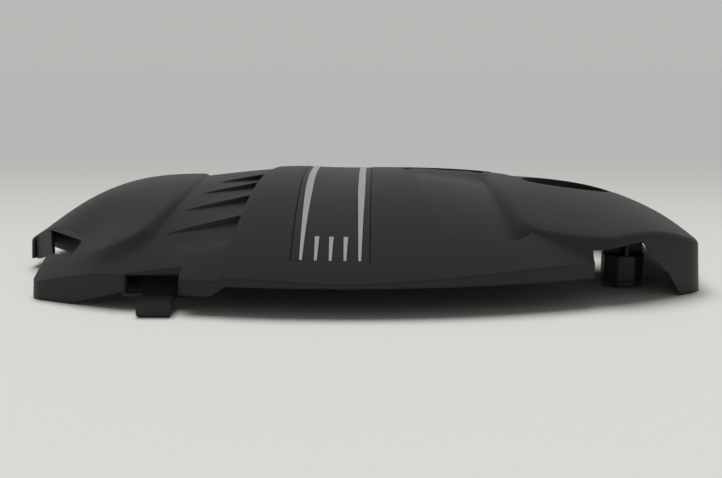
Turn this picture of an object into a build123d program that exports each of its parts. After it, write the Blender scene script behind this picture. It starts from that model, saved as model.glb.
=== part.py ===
"""Engine cover: a thin moulded shell with a trim strip, rubber mounts and a foam pad.

Millimetres, +Z up, +X to the right in the photo, +Y away from the viewer,
origin under the middle of the cover, floor at z = 0.
"""

import os
from math import radians, tan

from build123d import *

# Moulding
wall = 2.8
draft = 4.0

# Plan outline, taken at the floor
left_end = -288.5
right_end = 289.0
side_reach = 200.0
left_corner = (-252.0, -143.0)
lip_root = (-253.0, -92.0)
lip_half = 46.0
right_corner = (287.5, -112.0)
belly_x = -15.0
corner_round = 14.0
foot_round = 26.0

# Lower edge of the skirt
skirt_rise = 22.0
lip_rise = 8.0
lip_back = 18.0
skirt_reach = 127.0
arch_left = 189.0
arch_right = 230.0
arch_top = 42.0
arch_peak = 47.0

# Near left cut-out, the wall behind it and its guide tongue
notch_left = -169.0
notch_right = -126.0
notch_back = -173.0
tongue_left = -156.0
tongue_right = -130.0
tongue_front = -198.0
tongue_shelf = 9.0
tongue_corner = 3.0

# Slot under the left lip and the flange along it
slot_tip = (-281.0, -31.0)
slot_root = (-216.0, -106.0)
slot_corner = (-223.0, -127.0)
slot_mouth = (-247.0, -103.0)
flange_tip = 8.0
flange_root = 44.0

# Crown of the middle: station along X and height of the ridge there
crown_line = [
    (-300, 12), (-245, 46), (-190, 67.5), (-150, 74.3), (-110, 79), (-20, 81.8),
    (70, 81), (130, 77.5), (190, 69.5), (245, 57), (300, 36),
]
crown_near_radius = 378.0
crown_far_radius = 750.0

# Crown of the two shoulders: station, ridge height, near radius
shoulder_line = [
    (-300, 22, 500), (-268, 39.5, 500), (-236, 59.9, 500), (-204, 70.6, 500),
    (-140, 74.9, 500), (0, 76.3, 500), (110, 75.3, 500), (180, 71.3, 540),
    (228, 64.5, 900), (262, 54, 1500), (300, 34, 2500),
]

# Shoulder pads: their plan is drawn at pad_datum and leans in by pad_lean;
# pad_round is large enough that no corner tapers to a point, pad_rim rounds the top edge
pad_datum = 40.0
pad_lean = 30.0
pad_round = 34.0
pad_rim = 6.5

# Left zone beside the band
zone_drop = 2.3
band_left_at = -78.4
band_left_lean = 4.2

# Gills
gill_count = 4
gill_depth = 8.5
gill_first_right = -109.0
gill_pitch_right = 42.0
gill_first_left = -131.0
gill_pitch_left = 37.0
gill_left_x = -151.0
gill_left_step = 9.5
gill_face_lean = 1.5
gill_runout = 0.8
gill_overrun = 6.0

# Bare pocket right of the band
pocket_depth = 2.5
pocket_tilt = 5.0
pocket_left_near = (69.0, -125.0)
pocket_left_far = (46.0, 60.0)
pocket_near = -146.0
pocket_far = 80.0
pocket_right = 146.0
pocket_round = 24.0

# Filler hole
filler_at = (199.0, 33.0)
filler_radius = 41.0
filler_collar = 12.0

# Trim strip and its bars
strip_at = -13.0
strip_width = 60.0
strip_reach = 177.0
strip_sink = 0.4
strip_thick = 1.6
strip_gap = 0.4
bar_pitch = 11.15
bar_proud = 0.5
bar_sunk = 0.6
bar_tip = 2.1
bar_short = 27.0
bar_short_end = 3.5
bar_long_middle = 6.0
bar_shoulder = 70.0
bar_margin = 2.0

# Mount cups and their rubber sockets
mount_spots = {
    "front_right": (226.0, -92.0),
    "front_left": (226.0, 104.0),
    "rear_right": (-190.0, -92.0),
    "rear_left": (-190.0, 104.0),
}
cup_radius = 13.0
cup_wall = 3.0
cup_rim = 6.5
cup_top = 28.0
cup_floor = 3.0
cup_web = 3.0
cup_sides = 8
rim_radius = 15.5
rim_thick = 3.0
stud_radius = 4.5
stud_neck = 8.0
ball_seat = 6.0

# Ribs and foam
rib_thick = 2.0
rib_reach = 14.5
rib_rows = (75.0, 130.0)
rib_columns = (-56.0, 32.0)
foam_bottom = 38.0
foam_left = (-222.0, -104.0)
foam_right = (240.0, -84.0)
foam_reach = 162.0
foam_clear = 5.0


def crown(line, inset):
    """Solid under a crowned surface, lofted through arcs across the cover."""
    with BuildPart() as solid:
        for station in line:
            x, ridge = station[0], station[1] - inset
            near = (station[2] if len(station) > 2 else crown_near_radius) - inset
            far = crown_far_radius - inset
            half = side_reach + 14
            near_z = ridge - near + (near**2 - half**2) ** 0.5
            far_z = ridge - far + (far**2 - half**2) ** 0.5
            with BuildSketch(Plane.YZ.offset(x)):
                with BuildLine():
                    RadiusArc((-half, near_z), (0, ridge), near)
                    RadiusArc((0, ridge), (half, far_z), far)
                    Polyline((half, far_z), (half, -160), (-half, -160), (-half, near_z))
                make_face()
        loft()
    return solid.part


def plan_outline():
    """Outline of the cover on the floor."""
    (lx, ly), (rx, ry) = left_corner, right_corner
    with BuildSketch(Plane.XY) as plan:
        with BuildLine():
            ThreePointArc((lx, ly), (belly_x, -side_reach), (rx, ry))
            ThreePointArc((rx, ry), (right_end, 0), (rx, -ry))
            ThreePointArc((rx, -ry), (belly_x, side_reach), (lx, -ly))
            Polyline(
                (lx, -ly), (lip_root[0], -lip_root[1]), (left_end, lip_half),
                (left_end, -lip_half), lip_root, (lx, ly),
            )
        make_face()
        fillet(plan.vertices().filter_by_position(Axis.X, 0, 400), foot_round)
        fillet(plan.vertices().filter_by_position(Axis.X, -400, lx + 1), corner_round)
    return plan.sketch


def plan_prism(inset):
    """Drafted prism on the outline; sinking its base insets the walls."""
    sink = inset / tan(radians(draft))
    with BuildPart() as prism:
        with BuildSketch(Plane.XY.offset(-sink)):
            add(plan_outline())
        extrude(amount=sink + 100, taper=draft)
        add(slab(-400, 400, -300, 300, -sink - 1, 0), mode=Mode.SUBTRACT)
    return prism.part


def pad(side, inset):
    """Tapered prism that bounds one shoulder."""
    spread = pad_datum * tan(radians(pad_lean))
    sink = inset / tan(radians(pad_lean))
    with BuildPart() as prism:
        with BuildSketch(Plane.XY.offset(-sink)) as plan:
            with BuildLine():
                if side == "left":
                    ThreePointArc((-158, -143), (-118, 10), (-158, 163))
                    Polyline((-158, 163), (-214, 172), (-320, 172), (-320, -75))
                    Polyline((-320, -75), (-238, -98), (-200, -157), (-158, -143))
                else:
                    ThreePointArc((134, 166), (107, 15), (134, -136))
                    Polyline((134, -136), (172, -149), (200, -156), (320, -156))
                    Polyline((320, -156), (320, 176), (190, 176), (134, 166))
            make_face()
            fillet(plan.vertices().filter_by_position(Axis.X, -319, 319), pad_round)
            offset(amount=spread, mode=Mode.REPLACE)
        extrude(amount=sink + 85, taper=pad_lean)
    return prism.part


def band_half(inset):
    """Everything right of the band's left edge."""
    lean = tan(radians(band_left_lean)) * 220
    with BuildPart() as block:
        with BuildSketch(Plane.XY):
            with BuildLine():
                x = band_left_at + inset
                Polyline((x - lean, -220), (320, -220), (320, 220), (x + lean, 220), close=True)
            make_face()
        extrude(amount=100)
    return block.part


def band_left(y):
    """X of the band's left edge."""
    return band_left_at + tan(radians(band_left_lean)) * y


def height(solid, x, y):
    """Height of a crowned solid above a point of the plan."""
    line = Edge.make_line((x, y, 0), (x, y, 200))
    return max(v.Z for e in solid.intersect(line).edges() for v in e.vertices())


def gills(inset, datum):
    """Sawtooth wedges: deep at the band, running out to the left."""
    wedges = []
    for number in range(gill_count):
        right_y = gill_first_right + number * gill_pitch_right
        left_y = gill_first_left + number * gill_pitch_left
        right_x = band_left(right_y)
        left_x = gill_left_x + number * gill_left_step
        with BuildPart() as wedge:
            for x, y, pitch, deep in (
                (left_x, left_y, gill_pitch_left, -gill_runout),
                (right_x + gill_overrun, right_y, gill_pitch_right, gill_depth),
            ):
                start = height(datum, x, y - pitch) + gill_runout - inset
                foot = height(datum, x, y) - deep - inset
                face = y + inset
                with BuildSketch(Plane.YZ.offset(x)):
                    with BuildLine():
                        Polyline(
                            (y - pitch, start), (face, foot),
                            (face + gill_face_lean, foot + deep + 14),
                            (y - pitch, start + 20), close=True,
                        )
                    make_face()
            loft(ruled=True)
        wedges.append(wedge.part)
    return wedges


def pocket(inset):
    """Recess with a tilted crowned floor."""
    (nx, ny), (fx, fy) = pocket_left_near, pocket_left_far
    slope = (fx - nx) / (fy - ny)
    near_x = nx + slope * (pocket_near - ny)
    far_x = nx + slope * (pocket_far - ny)
    with BuildPart() as block:
        with BuildSketch(Plane.XY) as plan:
            with BuildLine():
                Polyline(
                    (near_x, pocket_near), (pocket_right, pocket_near),
                    (pocket_right, pocket_far), (far_x, pocket_far), close=True,
                )
            make_face()
            fillet(plan.vertices(), pocket_round)
            if inset:
                offset(amount=inset, mode=Mode.REPLACE)
        extrude(amount=100)
        floor = crown(crown_line, pocket_depth + inset)
        hinge = Axis((fx, 0, height(floor, fx, 0)), (0, 1, 0))
        add(floor.rotate(hinge, pocket_tilt), mode=Mode.SUBTRACT)
    return block.part


def strip_prism(gap):
    """Plan of the trim strip, grown by a gap."""
    with BuildPart() as block:
        with BuildSketch(Plane.XY.offset(5)):
            with Locations((strip_at, 0)):
                Rectangle(strip_width + 2 * gap, 2 * (strip_reach + gap))
        extrude(amount=95)
    return block.part


def shoulder(side, inset):
    """Raised shoulder of one side, trimmed to the plan; outside, its rim is rounded."""
    with BuildPart() as block:
        add(crown(shoulder_line, inset))
        add(pad(side, inset), mode=Mode.INTERSECT, clean=False)
        add(plan_prism(inset), mode=Mode.INTERSECT, clean=False)
        if inset == 0:
            # the round runs on from the far half of the rim into the near half
            top = block.faces().filter_by(lambda face: face.normal_at(face.center()).Z > 0.7)
            far_half = top.sort_by(Axis.Y)[-1].edges()
            fillet(far_half.filter_by(lambda edge: edge.center().Y > 1), pad_rim)
    return block.part


def form(inset):
    """Whole outer form, or its inner twin when inset is the wall."""
    zone = crown(crown_line, zone_drop)
    seat = strip_prism(strip_gap + inset) - crown(crown_line, strip_sink + strip_thick + inset)
    with BuildPart() as solid:
        add(crown(crown_line, zone_drop + inset))
        add(gills(inset, zone), mode=Mode.SUBTRACT, clean=False)
        add(crown(crown_line, inset) & band_half(inset), clean=False)
        add([pocket(inset), seat, pad("right", inset + 3)], mode=Mode.SUBTRACT, clean=False)
        add(plan_prism(inset), mode=Mode.INTERSECT, clean=False)
        add([shoulder("left", inset), shoulder("right", inset)], clean=False)
    return solid.part


def cutter(plane, points, depth, soft=0.0):
    """Prism on a polygon, its corners softened."""
    with BuildPart() as block:
        with BuildSketch(plane) as plan:
            with BuildLine():
                Polyline(*points, close=True)
            make_face()
            if soft:
                fillet(plan.vertices(), soft)
        extrude(amount=depth, dir=plane.z_dir)
    return block.part


def column(x, y, radius, bottom, top, sides=0):
    """Upright bar, round or with flat sides."""
    with BuildPart() as bar:
        with BuildSketch(Plane.XY.offset(bottom)):
            with Locations((x, y)):
                if sides:
                    RegularPolygon(radius, sides, major_radius=False, rotation=180 / sides)
                else:
                    Circle(radius)
        extrude(amount=top - bottom)
    return bar.part


def slab(x_low, x_high, y_low, y_high, bottom, top):
    """Upright box."""
    with BuildPart() as block:
        with BuildSketch(Plane.XY.offset(bottom)):
            with Locations(((x_low + x_high) / 2, (y_low + y_high) / 2)):
                Rectangle(x_high - x_low, y_high - y_low)
        extrude(amount=top - bottom)
    return block.part


front = Plane.XZ.offset(side_reach + 40)
near_edge = [
    (-216, -5), (-216, 0), (-172, 13), (-126, 14), (-102, 14), (-90, skirt_rise),
    (arch_left, skirt_rise), (arch_left, arch_top), (arch_right, arch_peak),
    (arch_right + 8, arch_peak - 14), (arch_right + 24, 19), (arch_right + 34, 2),
    (arch_right + 35, -5),
]
far_edge = [(-214, -5), (-190, skirt_rise), (205, skirt_rise), (229, -5)]
end_edge = [(-90, -5), (-70, skirt_rise), (70, skirt_rise), (90, -5)]
lip_edge = [(-80, -5), (-80, lip_rise), (-20, lip_rise), (5, lip_back), (85, lip_back), (100, -5)]
slot = [slot_root, slot_corner, slot_mouth, (-310, slot_mouth[1]), (-310, -20), slot_tip]

under = crown(crown_line, rib_reach)

with BuildPart() as inside:
    # stiffening ribs, down to the top of the foam
    for y in rib_rows:
        add(slab(-180, 150, y - rib_thick / 2, y + rib_thick / 2, 20, 95))
    for x in rib_columns:
        add(slab(x - rib_thick / 2, x + rib_thick / 2, -150, 150, 20, 95))
    add(under, mode=Mode.SUBTRACT)
    # mount cups under crossed webs
    reach = cup_radius + cup_wall
    arm = reach - 0.5
    for x, y in mount_spots.values():
        add(slab(x - arm, x + arm, y - cup_web / 2, y + cup_web / 2, cup_top - 1, 95))
        add(slab(x - cup_web / 2, x + cup_web / 2, y - arm, y + arm, cup_top - 1, 95))
        add(column(x, y, reach, cup_rim, cup_top, cup_sides))
        pit = column(x, y, cup_radius, cup_rim, cup_top - cup_floor, cup_sides)
        add(pit, mode=Mode.SUBTRACT)
    # collar of the filler hole
    x, y = filler_at
    low_side = height(crown(shoulder_line, wall), x + filler_radius, y)
    add(column(x, y, filler_radius + wall, low_side - filler_collar, 95))
    # flange under the lip, along the slot
    (tx, ty), (rx, ry) = slot_tip, slot_root
    along = Plane(origin=(tx, ty, 0), x_dir=(rx - tx, ry - ty, 0), z_dir=(ry - ty, tx - rx, 0))
    run = ((rx - tx) ** 2 + (ry - ty) ** 2) ** 0.5
    flange = [(-8, flange_tip), (0, flange_tip), (run, flange_root), (run, 95), (-8, 95)]
    add(cutter(along, flange, -wall))

with BuildPart() as cavity:
    add(form(wall))
    add(inside.part, mode=Mode.SUBTRACT, clean=False)

with BuildPart() as tongue:
    # wall behind the cut-out, shelf under it, and the tongue that hangs from the shelf
    add(slab(notch_left - wall, notch_right + wall, notch_back, notch_back + wall, tongue_shelf, 60))
    add(crown(crown_line, zone_drop + wall / 2), mode=Mode.INTERSECT)
    shelf_top = tongue_shelf + wall
    shelf_back = notch_back + wall / 2
    add(slab(tongue_left, tongue_right, tongue_front, shelf_back, tongue_shelf, shelf_top))
    hang = [
        (tongue_left, 0), (tongue_right, 0),
        (tongue_right, shelf_top), (tongue_left, shelf_top),
    ]
    add(cutter(Plane.XZ.offset(-tongue_front), hang, -wall, tongue_corner))

with BuildPart() as cover_shell:
    add(form(0))
    add(cavity.part, mode=Mode.SUBTRACT, clean=False)
    # lower edge of the skirt, cut-outs of the near left corner, filler hole
    cuts = [
        cutter(front, near_edge, -skirt_reach),
        cutter(Plane.XZ.offset(-60), far_edge, -200),
        cutter(Plane.YZ.offset(255), end_edge, 60),
        cutter(Plane.YZ.offset(left_end - 9), lip_edge, 60),
        slab(notch_left, notch_right, -side_reach - 9, notch_back, -5, 90),
        cutter(Plane.XY, slot, 90),
        column(*filler_at, filler_radius, 0, 95),
    ]
    add(cuts, mode=Mode.SUBTRACT, clean=False)
    add(tongue.part, clean=False)
cover_shell.part.label = "cover_shell"

plan = strip_prism(0)
with BuildPart() as strip_bars:
    skin = crown(crown_line, strip_sink - bar_proud) - crown(crown_line, strip_sink + bar_sunk)
    tip = strip_reach - bar_margin
    for number in (-2, -1, 0, 1, 2):
        x = strip_at + number * bar_pitch
        t, e, m = bar_tip / 2, bar_short_end / 2, bar_long_middle / 2
        if abs(number) == 2:
            outline = [(x - t, -tip), (x + t, -tip), (x + m, -bar_shoulder), (x + m, bar_shoulder),
                       (x + t, tip), (x - t, tip), (x - m, bar_shoulder), (x - m, -bar_shoulder)]
            add(cutter(Plane.XY, outline, 95) & skin)
        else:
            inner = tip - bar_short
            for way in (-1, 1):
                outline = [
                    (x - t, way * tip), (x + t, way * tip),
                    (x + e, way * inner), (x - e, way * inner),
                ]
                add(cutter(Plane.XY, outline, 95) & skin)
strip_bars.part.label = "strip_bars"

with BuildPart() as trim_strip:
    add(plan & crown(crown_line, strip_sink))
    add(crown(crown_line, strip_sink + strip_thick), mode=Mode.SUBTRACT)
    add(strip_bars.part, mode=Mode.SUBTRACT)
trim_strip.part.label = "trim_strip"

with BuildPart() as foam_block:
    (lx, ly), (rx, ry) = foam_left, foam_right
    with BuildSketch(Plane.XY.offset(foam_bottom)):
        with BuildLine():
            ThreePointArc((lx, ly), (belly_x, -foam_reach), (rx, ry))
            Line((rx, ry), (rx, -ry))
            ThreePointArc((rx, -ry), (belly_x, foam_reach), (lx, -ly))
            Line((lx, -ly), (lx, ly))
        make_face()
    extrude(amount=60)

with BuildPart() as foam_pad:
    add(under)
    add(foam_block.part, mode=Mode.INTERSECT)
    for x, y in mount_spots.values():
        add(column(x, y, reach + foam_clear, 0, 95, cup_sides), mode=Mode.SUBTRACT)
    x, y = filler_at
    add(column(x, y, filler_radius + wall + foam_clear, 0, 95, cup_sides), mode=Mode.SUBTRACT)
foam_pad.part.label = "foam_pad"

mounts = {}
for name, (x, y) in mount_spots.items():
    foot = cup_rim - rim_thick
    neck_top = foot + stud_neck
    with BuildPart() as mount:
        add(column(x, y, cup_radius, cup_rim, cup_top - cup_floor, cup_sides))
        add(column(x, y, rim_radius, foot, cup_rim, cup_sides))
        add(column(x, y, stud_radius, foot, neck_top), mode=Mode.SUBTRACT)
        add(column(x, y, ball_seat, neck_top, neck_top + ball_seat, cup_sides), mode=Mode.SUBTRACT)
    mounts[name] = mount.part
    mounts[name].label = "rubber_mount_" + name

os.makedirs("parts", exist_ok=True)
export_step(cover_shell.part, "parts/cover_shell.step")
export_step(trim_strip.part, "parts/trim_strip.step")
export_step(strip_bars.part, "parts/strip_bars.step")
export_step(foam_pad.part, "parts/foam_pad.step")
for name, piece in mounts.items():
    export_step(piece, "parts/rubber_mount_" + name + ".step")
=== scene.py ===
import math

import bmesh
import bpy
import numpy as np
from mathutils import Matrix, Vector


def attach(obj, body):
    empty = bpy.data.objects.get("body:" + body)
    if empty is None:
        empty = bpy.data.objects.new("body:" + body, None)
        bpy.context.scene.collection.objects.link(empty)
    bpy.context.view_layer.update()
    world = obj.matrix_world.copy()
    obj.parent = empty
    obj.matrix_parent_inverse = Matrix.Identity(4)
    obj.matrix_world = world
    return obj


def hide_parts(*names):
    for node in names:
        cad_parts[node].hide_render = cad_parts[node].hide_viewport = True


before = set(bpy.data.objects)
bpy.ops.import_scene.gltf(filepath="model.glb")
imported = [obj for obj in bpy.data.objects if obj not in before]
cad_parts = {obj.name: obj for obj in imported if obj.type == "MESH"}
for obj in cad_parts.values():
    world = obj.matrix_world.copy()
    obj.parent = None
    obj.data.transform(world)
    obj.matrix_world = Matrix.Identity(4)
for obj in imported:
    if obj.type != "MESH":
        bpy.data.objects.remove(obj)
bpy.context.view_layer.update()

bl_info = {
    "name": "Engine cover",
    "version": (1, 0, 0),
    "blender": (4, 5, 0),
    "location": "View3D > Sidebar > Engine cover",
    "description": "Dresses the moulded engine cover and sets its studio",
    "category": "Object",
}

ROOT = "root"
MOUNTS = sorted(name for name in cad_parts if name.startswith("rubber_mount"))
MERGE_DISTANCE = 1e-6

# Crown of the moulding, in metres: stations (x, z) of its ridge, the radii r with which
# y^2 / 2r follows the arcs across its near and far halves, and the drop of its lower zone
RIDGE = np.array((
    (-0.300, 0.012), (-0.245, 0.046), (-0.190, 0.0675), (-0.150, 0.0743),
    (-0.110, 0.079), (0.070, 0.081), (0.130, 0.0775), (0.190, 0.0695),
))
NEAR_ARC, FAR_ARC = 0.365, 0.750
ZONE_DROP = 0.0023
# A point whose normal's z lies under this is taken to belong to the inner face
FACES_DOWN = -0.2

# Left shoulder: where its run-out starts in x and y, and how long it is
CORNER_START_X, CORNER_RUN_X = -0.130, 0.085
CORNER_START_Y, CORNER_RUN_Y = -0.030, 0.090

# Field of the gills and the most that they go down
GILLS_X = (-0.155, -0.070)
GILLS_Y = (-0.137, 0.035)
GILLS_DEEP = 0.012

# Skirt between the feet of the right end: inner side, half width and height
END_INNER_X = 0.2835
END_HALF_WIDTH = 0.088
END_RISE = 0.0225

# Pocket: its field, the depth under the crown that it runs out to, the most that it goes down
# from there, and where its run-out starts in y and how long it is
POCKET_X = (0.048, 0.150)
POCKET_Y = (0.034, 0.0805)
POCKET_SHALLOW, POCKET_DEEP = 0.0003, 0.0125
POCKET_START_Y, POCKET_RUN_Y = 0.035, 0.044

# Left slot, along its edge, behind it and up: the part of the flush flange that is cut away,
# then the stretch, height and wall of the flange that stands further back
FLUSH_LOW, FLUSH_HIGH = (0.030, -0.003, -0.001), (0.090, 0.006, 0.0385)
BACK_ALONG = (-0.014, 0.088)
BACK_UP = (0.014, 0.036)
BACK_WALL = 0.0025

# Table: half its side, grid lines, and the depths between which its colour fades to the backdrop's,
# painted shade for the less lit far part of the sweep
TABLE_HALF, TABLE_LINES = 6.0, 13
FADE_START, FADE_END = -0.15, 0.85

# Faces of a box whose corner k is low or high in x, y and z by the three bits of k
BOX_FACES = np.array((
    (0, 2, 3, 1), (4, 5, 7, 6), (0, 1, 5, 4), (2, 6, 7, 3), (0, 4, 6, 2), (1, 3, 7, 5),
))


class CoverLooks(bpy.types.PropertyGroup):
    """Shapes, colours and finishes of the cover's pieces."""

    plastic: bpy.props.FloatVectorProperty(
        name="Plastic", description="Colour of the moulding", subtype="COLOR",
        size=3, min=0, max=1, default=(0.0095, 0.0098, 0.0096),
    )
    plastic_roughness: bpy.props.FloatProperty(
        name="Plastic roughness", description="Satin of the moulding", subtype="FACTOR",
        min=0, max=1, default=0.50,
    )
    grain: bpy.props.FloatProperty(
        name="Grain", description="Distance between the grains of the moulded skin",
        subtype="DISTANCE", unit="LENGTH", min=0.0002, max=0.01, default=0.0011,
    )
    grain_depth: bpy.props.FloatProperty(
        name="Grain depth", description="Height of the moulded grain",
        subtype="DISTANCE", unit="LENGTH", min=0, max=0.001, default=0.00005,
    )
    edge_softness: bpy.props.FloatProperty(
        name="Edge softness", description="Radius that the moulding's edges seem to have",
        subtype="DISTANCE", unit="LENGTH", min=0, max=0.01, default=0.0024,
    )
    crease: bpy.props.FloatProperty(
        name="Crease", description="Angle from which an edge of the plastic stays sharp",
        subtype="ANGLE", unit="ROTATION", default=math.radians(24),
    )
    wall: bpy.props.FloatProperty(
        name="Wall", description="Wall of the moulding", subtype="DISTANCE", unit="LENGTH",
        min=0.001, max=0.006, default=0.0028,
    )
    corner_fade: bpy.props.FloatProperty(
        name="Corner fade", description="Share of the left shoulder's height lost at its near corner",
        subtype="FACTOR", min=0, max=1, default=0.85,
    )
    gill_rise: bpy.props.FloatProperty(
        name="Gill rise", description="Share of the gills' depth that is filled",
        subtype="FACTOR", min=0, max=0.6, default=0.45,
    )
    end_gap: bpy.props.FloatProperty(
        name="End gap", description="Share of the height left open between the right end's feet",
        subtype="FACTOR", min=0, max=1, default=0.2,
    )
    slot_tip: bpy.props.FloatVectorProperty(
        name="Slot tip", description="Left end of the left slot's edge in plan",
        subtype="TRANSLATION", unit="LENGTH", size=3, default=(-0.281, -0.031, 0),
    )
    slot_turn: bpy.props.FloatProperty(
        name="Slot turn", description="Direction of the slot's edge in plan",
        subtype="ANGLE", unit="ROTATION", default=math.radians(-49.1),
    )
    slot_depth: bpy.props.FloatProperty(
        name="Slot depth", description="How far the slot's flange lies behind its edge",
        subtype="DISTANCE", unit="LENGTH", min=0, max=0.04, default=0.021,
    )
    window_low: bpy.props.FloatVectorProperty(
        name="Window low", description="Low corner of the opening behind the near cut-out",
        subtype="TRANSLATION", unit="LENGTH", size=3, default=(-0.168, -0.1745, 0.0121),
    )
    window_high: bpy.props.FloatVectorProperty(
        name="Window high", description="High corner of the opening behind the near cut-out",
        subtype="TRANSLATION", unit="LENGTH", size=3, default=(-0.127, -0.1690, 0.0262),
    )
    insert: bpy.props.FloatVectorProperty(
        name="Insert", description="Colour of the trim strip", subtype="COLOR",
        size=3, min=0, max=1, default=(0.0085, 0.0087, 0.0086),
    )
    insert_roughness: bpy.props.FloatProperty(
        name="Insert roughness", description="Satin of the trim strip", subtype="FACTOR",
        min=0, max=1, default=0.46,
    )
    insert_grain: bpy.props.FloatProperty(
        name="Insert grain", description="Share of the moulding's grain depth on the trim strip",
        subtype="FACTOR", min=0, max=1, default=0.4,
    )
    silver: bpy.props.FloatVectorProperty(
        name="Silver", description="Colour of the strip's bars", subtype="COLOR",
        size=3, min=0, max=1, default=(0.57, 0.575, 0.565),
    )
    rubber: bpy.props.FloatVectorProperty(
        name="Rubber", description="Colour of the push-on mounts", subtype="COLOR",
        size=3, min=0, max=1, default=(0.014, 0.014, 0.014),
    )
    rubber_crease: bpy.props.FloatProperty(
        name="Rubber crease", description="Angle from which an edge of the mounts stays sharp",
        subtype="ANGLE", unit="ROTATION", default=math.radians(30),
    )
    foam: bpy.props.FloatVectorProperty(
        name="Foam", description="Colour of the foam pad", subtype="COLOR",
        size=3, min=0, max=1, default=(0.032, 0.032, 0.034),
    )
    foam_cell: bpy.props.FloatProperty(
        name="Foam cell", description="Mesh size that the foam pad is rebuilt at",
        subtype="DISTANCE", unit="LENGTH", min=0.002, max=0.02, default=0.005,
    )


class StudioLooks(bpy.types.PropertyGroup):
    """Camera, floor and light."""

    camera_place: bpy.props.FloatVectorProperty(
        name="Camera place", description="Where the camera stands", subtype="TRANSLATION",
        unit="LENGTH", size=3, default=(0.021, -0.936, 0.205),
    )
    camera_dip: bpy.props.FloatProperty(
        name="Camera dip", description="How far the camera looks down", subtype="ANGLE",
        unit="ROTATION", default=math.radians(11.14),
    )
    camera_turn: bpy.props.FloatProperty(
        name="Camera turn", description="How far the camera turns to the left",
        subtype="ANGLE", unit="ROTATION", default=math.radians(0.81),
    )
    camera_lens: bpy.props.FloatProperty(
        name="Lens", description="Focal length on a 36 mm sensor", min=1, default=51.66,
    )
    floor: bpy.props.FloatVectorProperty(
        name="Floor", description="Colour of the table", subtype="COLOR",
        size=3, min=0, max=1, default=(0.83, 0.82, 0.77),
    )
    backdrop: bpy.props.FloatVectorProperty(
        name="Backdrop", description="Colour behind the table", subtype="COLOR",
        size=3, min=0, max=1, default=(0.475, 0.487, 0.468),
    )
    key: bpy.props.FloatProperty(
        name="Key light", description="Strength of the overhead light", min=0, default=2.35,
    )
    key_aim: bpy.props.FloatVectorProperty(
        name="Key aim", description="Direction in which the overhead light falls",
        subtype="DIRECTION", size=3, default=(0.12, -0.38, -1.0),
    )
    key_spread: bpy.props.FloatProperty(
        name="Key spread", description="Angle that the overhead light fills, which softens shadows",
        subtype="ANGLE", unit="ROTATION", default=math.radians(40),
    )
    fill: bpy.props.FloatProperty(
        name="Fill light", description="Strength of the light all round", min=0, default=0.17,
    )
    fill_colour: bpy.props.FloatVectorProperty(
        name="Fill colour", description="Colour of the light all round", subtype="COLOR",
        size=3, min=0, max=1, default=(0.97, 1.0, 0.99),
    )


class Wire:
    """A socket in a node tree; arithmetic on it adds Math nodes."""

    def __init__(self, tree, socket):
        self.tree, self.socket = tree, socket

    def add(self, kind, settings=None, output=0, **sockets):
        """Adds any other node: settings first, then the sockets' values or links.

        A socket is named by its label with _ for a space, or by i and its index."""
        node = self.tree.nodes.new(kind)
        for name, value in (settings or {}).items():
            setattr(node, name, value)
        for name, value in sockets.items():
            key = int(name[1:]) if name[1:].isdigit() else name.replace("_", " ")
            if isinstance(value, Wire):
                self.tree.links.new(value.socket, node.inputs[key])
            else:
                node.inputs[key].default_value = value
        return Wire(self.tree, node.outputs[output])

    def maths(self, operation, a, b=0.0):
        return self.add("ShaderNodeMath", {"operation": operation}, i0=a, i1=b)

    def __add__(self, other):
        return self.maths("ADD", self, other)

    def __sub__(self, other):
        return self.maths("SUBTRACT", self, other)

    def __mul__(self, other):
        return self.maths("MULTIPLY", self, other)

    def __rsub__(self, other):
        return self.maths("SUBTRACT", other, self)

    __radd__, __rmul__ = __add__, __mul__

    def between(self, low, high):
        """0 below low, 1 above high, smooth in between."""
        return self.add(
            "ShaderNodeMapRange", {"interpolation_type": "SMOOTHSTEP"},
            Value=self, From_Min=low, From_Max=high,
        )

    def tint(self, dark, light):
        """The colour from dark to light that this value picks."""
        return self.add(
            "ShaderNodeMix", {"data_type": "RGBA"}, 2,
            i0=self, i6=(*dark, 1), i7=(*light, 1),
        )


def new_finish(name, shine=None):
    """A material: itself, its tree's place wire and its shader node, with a specular level."""
    material = bpy.data.materials.new(name)
    material.use_nodes = True
    tree = material.node_tree
    place = Wire(tree, tree.nodes.new("ShaderNodeTexCoord").outputs["Object"])
    shader = tree.nodes["Principled BSDF"]
    if shine is not None:
        shader.inputs["Specular IOR Level"].default_value = shine
    return material, place, shader


def join(material, shader, **wires):
    """Links wires to the shader's sockets, named with _ for a space."""
    for name, wire in wires.items():
        material.node_tree.links.new(wire.socket, shader.inputs[name.replace("_", " ")])


def noise(place, size, detail=2.0, rough=0.5):
    """Noise whose lumps are about size metres apart."""
    return place.add(
        "ShaderNodeTexNoise", Vector=place, Scale=1 / size, Detail=detail, Roughness=rough
    )


def shade(value, amount):
    """A colour made lighter by a share, or darker where the share is below 0."""
    return tuple(min(1.0, part * (1 + amount)) for part in value)


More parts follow.
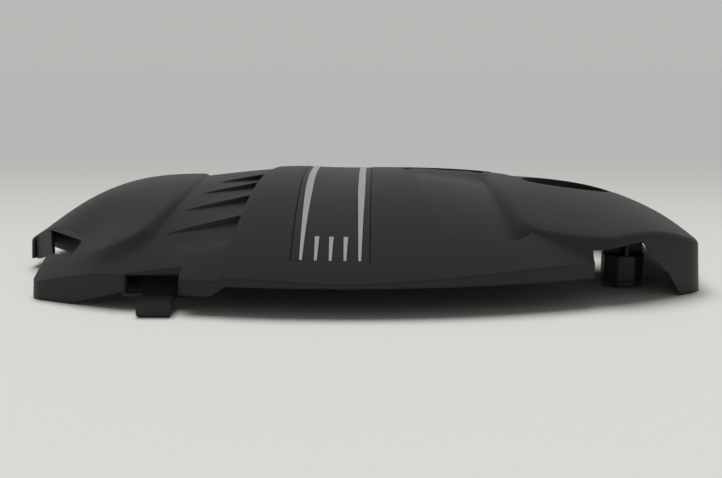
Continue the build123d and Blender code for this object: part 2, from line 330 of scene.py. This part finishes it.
def plastic_finish(name, colour, roughness, looks, grain_share=1.0):
    """Satin moulded plastic: fine grain, faint flow clouds, rounded edges."""
    cloud_size, tone_swing = 0.09, 0.10
    cloud_roughness, speck_roughness, mean_roughness = 0.10, 0.06, 0.08
    material, place, shader = new_finish(name, shine=0.42)
    clouds = noise(place, cloud_size, 3.0)
    specks = noise(place, looks.grain, 2.0, 0.6)
    cells = place.add(
        "ShaderNodeTexVoronoi", {"feature": "SMOOTH_F1"},
        Vector=place, Scale=0.7 / looks.grain, Smoothness=0.6,
    )
    mix = clouds * 0.7 + specks * 0.3
    soft = place.add("ShaderNodeBevel", {"samples": 4}, Radius=looks.edge_softness)
    bump = place.add(
        "ShaderNodeBump", Strength=0.6, Distance=looks.grain_depth * grain_share,
        Height=specks * 0.5 + cells * 0.5, Normal=soft,
    )
    join(
        material, shader,
        Base_Color=mix.between(0.3, 0.7).tint(shade(colour, -tone_swing), shade(colour, tone_swing)),
        Roughness=clouds * cloud_roughness + specks * speck_roughness + (roughness - mean_roughness),
        Normal=bump,
    )
    return material


def silver_finish(name, colour):
    """Silver paint on moulded bars: fine flakes and faint streaks along them."""
    streak_size, streak_squeeze, flake_size, flake_height = 0.0016, 0.12, 0.0004, 0.00003
    material, place, shader = new_finish(name)
    stretched = place.add("ShaderNodeMapping", Vector=place, Scale=(1.0, streak_squeeze, 1.0))
    streaks = noise(stretched, streak_size, 3.0)
    flakes = noise(place, flake_size, 1.0)
    tone = (streaks * 0.6 + flakes * 0.4).between(0.3, 0.7)
    bump = place.add("ShaderNodeBump", Strength=0.3, Distance=flake_height, Height=flakes)
    join(
        material, shader, Base_Color=tone.tint(shade(colour, -0.12), shade(colour, 0.08)),
        Roughness=streaks * 0.16 + 0.30, Normal=bump,
    )
    shader.inputs["Metallic"].default_value = 0.75
    return material


def rubber_finish(name, colour):
    """Dull moulded rubber with a dusty bloom."""
    bloom_size, speck_size, speck_height = 0.012, 0.0006, 0.00006
    material, place, shader = new_finish(name)
    bloom = noise(place, bloom_size, 4.0, 0.6)
    specks = noise(place, speck_size, 2.0)
    bump = place.add("ShaderNodeBump", Strength=0.5, Distance=speck_height, Height=specks)
    join(
        material, shader,
        Base_Color=bloom.between(0.35, 0.75).tint(colour, shade(colour, 0.9)),
        Roughness=bloom * 0.2 + 0.58, Normal=bump,
    )
    return material


def foam_finish(name, colour):
    """Open-pored foam: round pores, bumped into a dull skin and painted darker as the shade inside
    them.
    """
    pore_size, fine_pore_size, lump_size, pore_depth = 0.0028, 0.0011, 0.03, 0.0006
    material, place, shader = new_finish(name, shine=0.25)
    pores = place.add("ShaderNodeTexVoronoi", Vector=place, Scale=1 / pore_size)
    fine = place.add("ShaderNodeTexVoronoi", Vector=place, Scale=1 / fine_pore_size)
    lumps = noise(place, lump_size, 3.0)
    skin = pores.between(0.10, 0.45) * 0.7 + fine.between(0.10, 0.5) * 0.3
    # Painted shade: pores get a colour 60 % darker than the foam's for the shade inside them; the
    # lumps vary the tone at random
    tone = skin * (0.7 + 0.3 * lumps)
    bump = place.add("ShaderNodeBump", Strength=0.8, Distance=pore_depth, Height=skin)
    join(
        material, shader,
        Base_Color=tone.tint(shade(colour, -0.6), shade(colour, 0.25)),
        Roughness=0.96 - skin * 0.08, Normal=bump,
    )
    return material


def table_finish(name, looks):
    """Pale table whose colour fades with depth towards the backdrop's: painted shade for the less lit
    far part of the sweep.
    """
    fleck_size, far_lift = 0.02, 0.12
    material, place, shader = new_finish(name, shine=0.2)
    parts = place.add("ShaderNodeSeparateXYZ", Vector=place)
    depth = Wire(parts.tree, parts.socket.node.outputs["Y"])
    # Painted shade: the colour darkens with depth towards a lifted backdrop colour, where the sweep
    # gets less light
    painted_far_shade = depth.between(FADE_START, FADE_END)
    join(
        material, shader, Base_Color=painted_far_shade.tint(looks.floor, shade(looks.backdrop, far_lift)),
        Roughness=0.6 + 0.05 * noise(place, fleck_size),
    )
    return material


def add_crease(piece, angle):
    """Keeps the edges sharp that turn by more than an angle; the rest is shaded smooth."""
    piece.data.shade_smooth()
    split = piece.modifiers.new("crease", "EDGE_SPLIT")
    split.split_angle = angle


def dress(node, material, crease):
    """Gives a CAD node its finish, welded and smooth up to a crease angle."""
    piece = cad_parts[node]
    piece.data.materials.clear()
    piece.data.materials.append(material)
    weld = piece.modifiers.new("weld", "WELD")
    weld.merge_threshold = MERGE_DISTANCE
    add_crease(piece, crease)


def put_piece(name, mesh):
    """Links a new object for a mesh, at the origin."""
    piece = bpy.data.objects.new(name, mesh)
    bpy.context.scene.collection.objects.link(piece)
    return piece


def put_mesh(name, verts, faces):
    """A new piece from arrays of points and faces."""
    mesh = bpy.data.meshes.new(name)
    mesh.from_pydata(verts.tolist(), [], faces.tolist())
    return put_piece(name, mesh)


def merged_copy(node, name, material):
    """A new piece from a copy of a CAD node's mesh, its doubled corners joined."""
    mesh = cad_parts[node].data.copy()
    mesh.name = name
    shape = bmesh.new()
    shape.from_mesh(mesh)
    bmesh.ops.remove_doubles(shape, verts=shape.verts, dist=MERGE_DISTANCE)
    shape.to_mesh(mesh)
    shape.free()
    mesh.materials.clear()
    mesh.materials.append(material)
    return put_piece(name, mesh)


def smooth(t):
    """0 below 0, 1 above 1, 3t^2 - 2t^3 in between."""
    t = np.clip(t, 0, 1)
    return t * t * (3 - 2 * t)


def within(values, limits):
    """True where values lie between two limits."""
    return (values > limits[0]) & (values < limits[1])


def crown_height(x, y, arc, drop):
    """The ridge's height at x, less y^2 / 2r for an arc of radius r across it, less a drop."""
    return np.interp(x, RIDGE[:, 0], RIDGE[:, 1]) - y * y / 2 / arc - drop


def soften_gills(points, under, looks):
    """Makes the gills shallower.

    Within their field a point that lies d under the crown's lower zone, for d up to
    GILLS_DEEP, rises by looks.gill_rise d. The inner face moves with the outer one."""
    x, y, z = points.T
    d = crown_height(x, y, NEAR_ARC, ZONE_DROP) - z - under
    field = within(x, GILLS_X) & within(y, GILLS_Y) & within(d, (0, GILLS_DEEP))
    points[:, 2] = z + np.where(field, looks.gill_rise * d, 0)


def lower_shoulder(points, under, looks):
    """Lets the left shoulder run out at its near corner.

    The height h above the crown's lower zone becomes h (1 - c). c grows from 0 to
    looks.corner_fade along the runs in x and y. A point of the inner face moves like the outer
    face above it."""
    x, y, z = points.T
    zone = crown_height(x, y, NEAR_ARC, ZONE_DROP)
    nearer = smooth((CORNER_START_Y - y) / CORNER_RUN_Y)
    further_left = smooth((CORNER_START_X - x) / CORNER_RUN_X)
    c = looks.corner_fade * nearer * further_left
    points[:, 2] = z - c * np.maximum(z + under - zone, 0)


def lower_end(points, looks):
    """Brings the skirt down between the feet of the right end: z becomes looks.end_gap z."""
    x, y, z = points.T
    edge = (x > END_INNER_X) & (np.abs(y) < END_HALF_WIDTH) & (z < END_RISE)
    points[:, 2] = np.where(edge, looks.end_gap * z, z)


def fade_pocket(points):
    """Lets the pocket run out at its far end.

    A point z of its floor goes to z + (h - z) s. h lies just under the crown, and s grows from
    0 to 1 along the run in y."""
    x, y, z = points.T
    h = crown_height(x, y, FAR_ARC, POCKET_SHALLOW)
    inside = within(x, POCKET_X) & within(y, POCKET_Y) & within(z, (h - POCKET_DEEP, h))
    s = smooth((y - POCKET_START_Y) / POCKET_RUN_Y)
    points[:, 2] = np.where(inside, z + (h - z) * s, z)


def reshape_shell(mesh, looks):
    """Moves the points of the shell's copy: gills, left shoulder, right end, then pocket."""
    points = np.empty((len(mesh.vertices), 3))
    mesh.vertices.foreach_get("co", points.ravel())
    normals = np.empty_like(points)
    mesh.vertex_normals.foreach_get("vector", normals.ravel())
    under = np.where(normals[:, 2] < FACES_DOWN, looks.wall, 0)
    soften_gills(points, under, looks)
    lower_shoulder(points, under, looks)
    lower_end(points, looks)
    fade_pocket(points)
    mesh.vertices.foreach_set("co", points.ravel())


def box_edit(piece, operation, low, high, origin=(0, 0, 0), turn=0.0):
    """Joins a box to a piece, or cuts it out.

    Corner k of the box is low or high in x, y and z by the three bits of k, in axes that are
    turned about the upright and stand at origin."""
    bits = np.arange(8)[:, None] >> np.arange(3) & 1
    corners = np.where(bits, high, low) @ np.array(Matrix.Rotation(turn, 3, "Z")).T + origin
    box = put_mesh("box", corners, BOX_FACES)
    edit = piece.modifiers.new("edit", "BOOLEAN")
    edit.object, edit.operation, edit.solver = box, operation, "EXACT"
    bpy.context.view_layer.update()
    shown = piece.evaluated_get(bpy.context.evaluated_depsgraph_get())
    piece.data = bpy.data.meshes.new_from_object(shown)
    piece.modifiers.remove(edit)
    bpy.data.objects.remove(box)


def set_back_flange(piece, looks):
    """Cuts away most of the flange flush with the left slot's edge and sets one back."""
    place = (np.array(looks.slot_tip), looks.slot_turn)
    back = looks.slot_depth
    low, high = zip(BACK_ALONG, (back, back + BACK_WALL), BACK_UP)
    box_edit(piece, "DIFFERENCE", FLUSH_LOW, FLUSH_HIGH, *place)
    box_edit(piece, "UNION", low, high, *place)


class ENGINECOVER_OT_shell(bpy.types.Operator):
    """Dresses the moulded shell"""

    bl_idname = "enginecover.shell"
    bl_label = "Cover shell"

    def execute(self, context):
        looks = context.scene.cover_looks
        finish = plastic_finish("satin_moulding", looks.plastic, looks.plastic_roughness, looks)
        piece = merged_copy("cover_shell", "shell_skin", finish)
        reshape_shell(piece.data, looks)
        box_edit(piece, "DIFFERENCE", looks.window_low, looks.window_high)
        set_back_flange(piece, looks)
        add_crease(piece, looks.crease)
        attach(piece, ROOT)
        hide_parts("cover_shell")
        return {"FINISHED"}


class ENGINECOVER_OT_strip(bpy.types.Operator):
    """Dresses the trim strip and its bars"""

    bl_idname = "enginecover.strip"
    bl_label = "Trim strip"

    def execute(self, context):
        looks = context.scene.cover_looks
        insert = plastic_finish(
            "smooth_insert", looks.insert, looks.insert_roughness, looks, looks.insert_grain
        )
        dress("trim_strip", insert, looks.crease)
        dress("strip_bars", silver_finish("silver_paint", looks.silver), looks.crease)
        return {"FINISHED"}


class ENGINECOVER_OT_mounts(bpy.types.Operator):
    """Dresses the four push-on mounts"""

    bl_idname = "enginecover.mounts"
    bl_label = "Rubber mounts"

    def execute(self, context):
        looks = context.scene.cover_looks
        finish = rubber_finish("mount_rubber", looks.rubber)
        for node in MOUNTS:
            dress(node, finish, looks.rubber_crease)
        return {"FINISHED"}


class ENGINECOVER_OT_foam(bpy.types.Operator):
    """Rebuilds the foam pad with soft edges"""

    bl_idname = "enginecover.foam"
    bl_label = "Foam pad"

    def execute(self, context):
        looks = context.scene.cover_looks
        piece = merged_copy("foam_pad", "foam_block", foam_finish("open_foam", looks.foam))
        remesh = piece.modifiers.new("remesh", "REMESH")
        remesh.mode, remesh.voxel_size = "VOXEL", looks.foam_cell
        remesh.use_smooth_shade = True
        soften = piece.modifiers.new("soften", "SMOOTH")
        soften.factor, soften.iterations = 0.5, 4
        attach(piece, ROOT)
        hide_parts("foam_pad")
        return {"FINISHED"}


def lay_table(looks):
    """A flat square grid: z = 0 for every u and v from -TABLE_HALF to TABLE_HALF."""
    line = np.linspace(-TABLE_HALF, TABLE_HALF, TABLE_LINES)
    u, v = np.meshgrid(line, line)
    verts = np.stack([u, v, np.zeros_like(u)], axis=-1).reshape(-1, 3)
    cell = np.arange(TABLE_LINES - 1)
    first = (cell[:, None] * TABLE_LINES + cell).reshape(-1)
    faces = np.stack([first, first + 1, first + TABLE_LINES + 1, first + TABLE_LINES], axis=-1)
    table = put_mesh("table", verts, faces)
    table.data.materials.append(table_finish("pale_table", looks))


def light_room(scene, looks):
    """Light all round. Seen directly, mirrored or through glass, it has the backdrop's colour."""
    world = bpy.data.worlds.new("studio")
    scene.world = world
    world.use_nodes = True
    tree = world.node_tree
    light = tree.nodes["Background"]
    light.inputs["Color"].default_value = (*looks.fill_colour, 1)
    light.inputs["Strength"].default_value = looks.fill
    rays = tree.nodes.new("ShaderNodeLightPath")
    camera_ray, glossy_ray, glass_ray = (
        Wire(tree, rays.outputs[f"Is {kind} Ray"]) for kind in ("Camera", "Glossy", "Transmission")
    )
    seen = camera_ray.add("ShaderNodeBackground", Color=(*looks.backdrop, 1), Strength=1.0)
    both = camera_ray.add(
        "ShaderNodeMixShader", i0=camera_ray + glossy_ray + glass_ray,
        i1=Wire(tree, light.outputs[0]), i2=seen,
    )
    tree.links.new(both.socket, tree.nodes["World Output"].inputs["Surface"])


def hang_lamp(scene, looks):
    """A broad light overhead, which no finish mirrors."""
    lamp = bpy.data.lights.new("overhead", "SUN")
    lamp.energy, lamp.angle = looks.key, looks.key_spread
    key = bpy.data.objects.new("overhead", lamp)
    key.rotation_euler = Vector(looks.key_aim).to_track_quat("-Z", "Y").to_euler()
    key.visible_glossy = False
    scene.collection.objects.link(key)


def set_camera(scene, looks):
    """The camera, level from side to side."""
    lens = bpy.data.cameras.new("camera")
    lens.lens, lens.sensor_width, lens.clip_start = looks.camera_lens, 36, 0.01
    camera = bpy.data.objects.new("camera", lens)
    camera.location = looks.camera_place
    camera.rotation_euler = (math.pi / 2 - looks.camera_dip, 0, looks.camera_turn)
    scene.collection.objects.link(camera)
    scene.camera = camera


class ENGINECOVER_OT_stage(bpy.types.Operator):
    """Sets the table, the light and the camera"""

    bl_idname = "enginecover.stage"
    bl_label = "Studio"

    def execute(self, context):
        scene, looks = context.scene, context.scene.studio_looks
        scene.view_settings.view_transform = "Standard"
        lay_table(looks)
        light_room(scene, looks)
        hang_lamp(scene, looks)
        set_camera(scene, looks)
        return {"FINISHED"}


class ENGINECOVER_PT_panel(bpy.types.Panel):
    """Lists the pieces and their looks"""

    bl_label = "Engine cover"
    bl_space_type = "VIEW_3D"
    bl_region_type = "UI"
    bl_category = "Engine cover"

    def draw(self, context):
        for operator in OPERATORS:
            self.layout.operator(operator.bl_idname)
        for looks in (context.scene.cover_looks, context.scene.studio_looks):
            for name in looks.__annotations__:
                self.layout.prop(looks, name)


OPERATORS = (
    ENGINECOVER_OT_shell, ENGINECOVER_OT_strip, ENGINECOVER_OT_mounts,
    ENGINECOVER_OT_foam, ENGINECOVER_OT_stage,
)
CLASSES = (CoverLooks, StudioLooks, *OPERATORS, ENGINECOVER_PT_panel)


def register():
    for made in CLASSES:
        bpy.utils.register_class(made)
    bpy.types.Scene.cover_looks = bpy.props.PointerProperty(type=CoverLooks)
    bpy.types.Scene.studio_looks = bpy.props.PointerProperty(type=StudioLooks)


def unregister():
    del bpy.types.Scene.studio_looks
    del bpy.types.Scene.cover_looks
    for made in reversed(CLASSES):
        bpy.utils.unregister_class(made)


def main():
    register()
    bpy.ops.enginecover.stage()
    bpy.ops.enginecover.shell()
    bpy.ops.enginecover.strip()
    bpy.ops.enginecover.mounts()
    bpy.ops.enginecover.foam()


if __name__ == "__main__":
    main()
